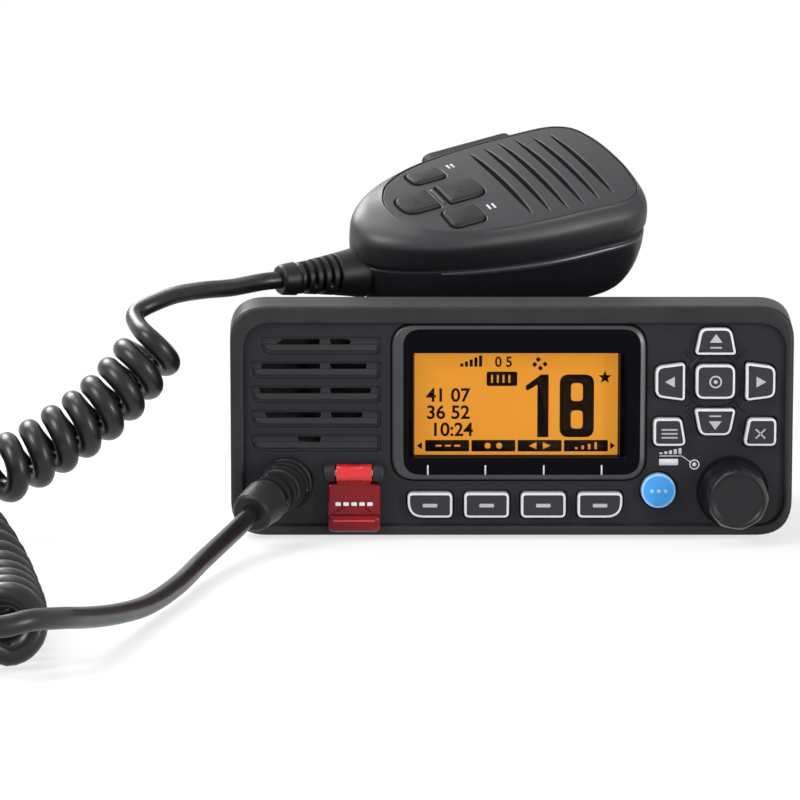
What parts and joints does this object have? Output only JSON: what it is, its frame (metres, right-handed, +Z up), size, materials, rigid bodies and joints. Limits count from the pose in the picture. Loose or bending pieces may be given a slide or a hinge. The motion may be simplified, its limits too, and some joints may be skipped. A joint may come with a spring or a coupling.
{
  "type": "fixed-mount marine VHF radio",
  "caption": "Panel-front marine radio with backlit display, sprung keys, push-and-turn knob, flip-up distress cover, finned chassis and a fist microphone on a curly cord.",
  "frame": {"origin": "on the surface that the radio stands on, under the middle of the radio's bounding box, cord left out", "axes": "+X to the right of someone who faces the panel, +Y from the panel to the rear socket, +Z up"},
  "size_m": [0.2508, 0.3047, 0.113],
  "materials": {
    "panel": "fine spark texture",
    "window": "polished",
    "screen": "lit amber",
    "diffuser": "moulded",
    "mat": "moulded",
    "board": "solder resist",
    "key": "soft, with a pale printed rim",
    "blue_key": "moulded",
    "red_cover": "tinted, polished",
    "steel": "plain",
    "cone": "pressed",
    "magnet": "plated",
    "rubber": "moulded",
    "chassis": "die cast, black coat",
    "brass": "turned",
    "tinned": "tinned",
    "module": "moulded",
    "nickel": "nickel plated",
    "knob": "moulded",
    "cord": "smooth jacket with a soft sheen",
    "mic": "satin",
    "mic_key": "soft"
  },
  "bodies": {
    "radio": {"front_panel": "panel", "display_lens": "window", "lcd_module": "screen", "backlight": "diffuser", "keypad_mat": "mat", "key_board": "board", "cover_hinge_pin": "steel", "cover_spring": "steel", "speaker_frame": "steel", "speaker_cone": "cone", "speaker_magnet": "magnet", "panel_gasket": "rubber", "chassis": "chassis", "case_screw_1": "steel", "case_screw_2": "steel", "case_screw_3": "steel", "case_screw_4": "steel", "bracket_insert_left": "brass", "bracket_insert_right": "brass", "main_board": "board", "shield_can": "tinned", "amplifier_module": "module", "antenna_socket": "nickel", "power_gland": "rubber", "accessory_gland": "rubber", "encoder_body": "module", "radio_cord_boot": "rubber", "cord_radio_end": "cord", "cord_coil": "cord", "cord_mic_end": "cord"},
    "up_key": {"key_up": "key"},
    "down_key": {"key_down": "key"},
    "left_key": {"key_left": "key"},
    "right_key": {"key_right": "key"},
    "enter_key": {"key_enter": "key"},
    "menu_key": {"key_menu": "key"},
    "clear_key": {"key_clear": "key"},
    "channel_key": {"key_channel": "blue_key"},
    "first_soft_key": {"soft_key_1": "key"},
    "second_soft_key": {"soft_key_2": "key"},
    "third_soft_key": {"soft_key_3": "key"},
    "fourth_soft_key": {"soft_key_4": "key"},
    "call_key": {"distress_key": "red_cover"},
    "cover": {"distress_cover": "red_cover"},
    "rotor": {"encoder_rotor": "diffuser"},
    "knob": {"encoder_shaft": "steel", "volume_knob": "knob"},
    "microphone": {"mic_front_shell": "mic", "mic_rear_shell": "mic", "mic_hang_stud": "mic", "mic_board": "board", "mic_capsule": "nickel", "mic_cord_boot": "rubber"},
    "talk_key": {"mic_ptt": "mic_key"},
    "mic_down_key": {"mic_key_down": "mic_key"},
    "mic_up_key": {"mic_key_up": "mic_key"},
    "mic_power_key": {"mic_key_power": "mic_key"},
    "mic_call_key": {"mic_key_call": "mic_key"}
  },
  "joints": [
    {"name": "up_press", "type": "slide", "parent": "radio", "child": "up_key", "axis": [0, 1, 0], "range_m": [0, 0.0008], "stiffness_N_per_m": 1500},
    {"name": "down_press", "type": "slide", "parent": "radio", "child": "down_key", "axis": [0, 1, 0], "range_m": [0, 0.0008], "stiffness_N_per_m": 1500},
    {"name": "left_press", "type": "slide", "parent": "radio", "child": "left_key", "axis": [0, 1, 0], "range_m": [0, 0.0008], "stiffness_N_per_m": 1500},
    {"name": "right_press", "type": "slide", "parent": "radio", "child": "right_key", "axis": [0, 1, 0], "range_m": [0, 0.0008], "stiffness_N_per_m": 1500},
    {"name": "enter_press", "type": "slide", "parent": "radio", "child": "enter_key", "axis": [0, 1, 0], "range_m": [0, 0.0008], "stiffness_N_per_m": 1500},
    {"name": "menu_press", "type": "slide", "parent": "radio", "child": "menu_key", "axis": [0, 1, 0], "range_m": [0, 0.0008], "stiffness_N_per_m": 1500},
    {"name": "clear_press", "type": "slide", "parent": "radio", "child": "clear_key", "axis": [0, 1, 0], "range_m": [0, 0.0008], "stiffness_N_per_m": 1500},
    {"name": "channel_press", "type": "slide", "parent": "radio", "child": "channel_key", "axis": [0, 1, 0], "range_m": [0, 0.0008], "stiffness_N_per_m": 1500},
    {"name": "first_soft_press", "type": "slide", "parent": "radio", "child": "first_soft_key", "axis": [0, 1, 0], "range_m": [0, 0.0008], "stiffness_N_per_m": 1500},
    {"name": "second_soft_press", "type": "slide", "parent": "radio", "child": "second_soft_key", "axis": [0, 1, 0], "range_m": [0, 0.0008], "stiffness_N_per_m": 1500},
    {"name": "third_soft_press", "type": "slide", "parent": "radio", "child": "third_soft_key", "axis": [0, 1, 0], "range_m": [0, 0.0008], "stiffness_N_per_m": 1500},
    {"name": "fourth_soft_press", "type": "slide", "parent": "radio", "child": "fourth_soft_key", "axis": [0, 1, 0], "range_m": [0, 0.0008], "stiffness_N_per_m": 1500},
    {"name": "call_press", "type": "slide", "parent": "radio", "child": "call_key", "axis": [0, 1, 0], "range_m": [0, 0.0008], "stiffness_N_per_m": 1500},
    {"name": "cover_flip", "type": "hinge", "parent": "radio", "child": "cover", "pos_m": [-0.0436, -0.049, 0.0186], "axis": [-1, 0, 0], "range_deg": [0, 110], "stiffness_Nm_per_rad": 0.004},
    {"name": "volume_turn", "type": "hinge", "parent": "radio", "child": "rotor", "pos_m": [0.0613, -0.041, 0.0131], "axis": [0, 1, 0], "continuous": true},
    {"name": "volume_press", "type": "slide", "parent": "rotor", "child": "knob", "axis": [0, 1, 0], "range_m": [0, 0.0008], "stiffness_N_per_m": 2500},
    {"name": "microphone_lift", "type": "slide", "parent": "radio", "child": "microphone", "axis": [0, 0, 1], "range_m": [0, 0.03]},
    {"name": "talk_press", "type": "slide", "parent": "microphone", "child": "talk_key", "axis": [0.4648, -0.7796, -0.4198], "range_m": [0, 0.002], "stiffness_N_per_m": 2000},
    {"name": "mic_down_press", "type": "slide", "parent": "microphone", "child": "mic_down_key", "axis": [0, 0.4741, -0.8805], "range_m": [0, 0.0006], "stiffness_N_per_m": 1500},
    {"name": "mic_up_press", "type": "slide", "parent": "microphone", "child": "mic_up_key", "axis": [0, 0.4741, -0.8805], "range_m": [0, 0.0006], "stiffness_N_per_m": 1500},
    {"name": "mic_power_press", "type": "slide", "parent": "microphone", "child": "mic_power_key", "axis": [0, 0.4741, -0.8805], "range_m": [0, 0.0006], "stiffness_N_per_m": 1500},
    {"name": "mic_call_press", "type": "slide", "parent": "microphone", "child": "mic_call_key", "axis": [0, 0.4741, -0.8805], "range_m": [0, 0.0006], "stiffness_N_per_m": 1500}
  ]
}
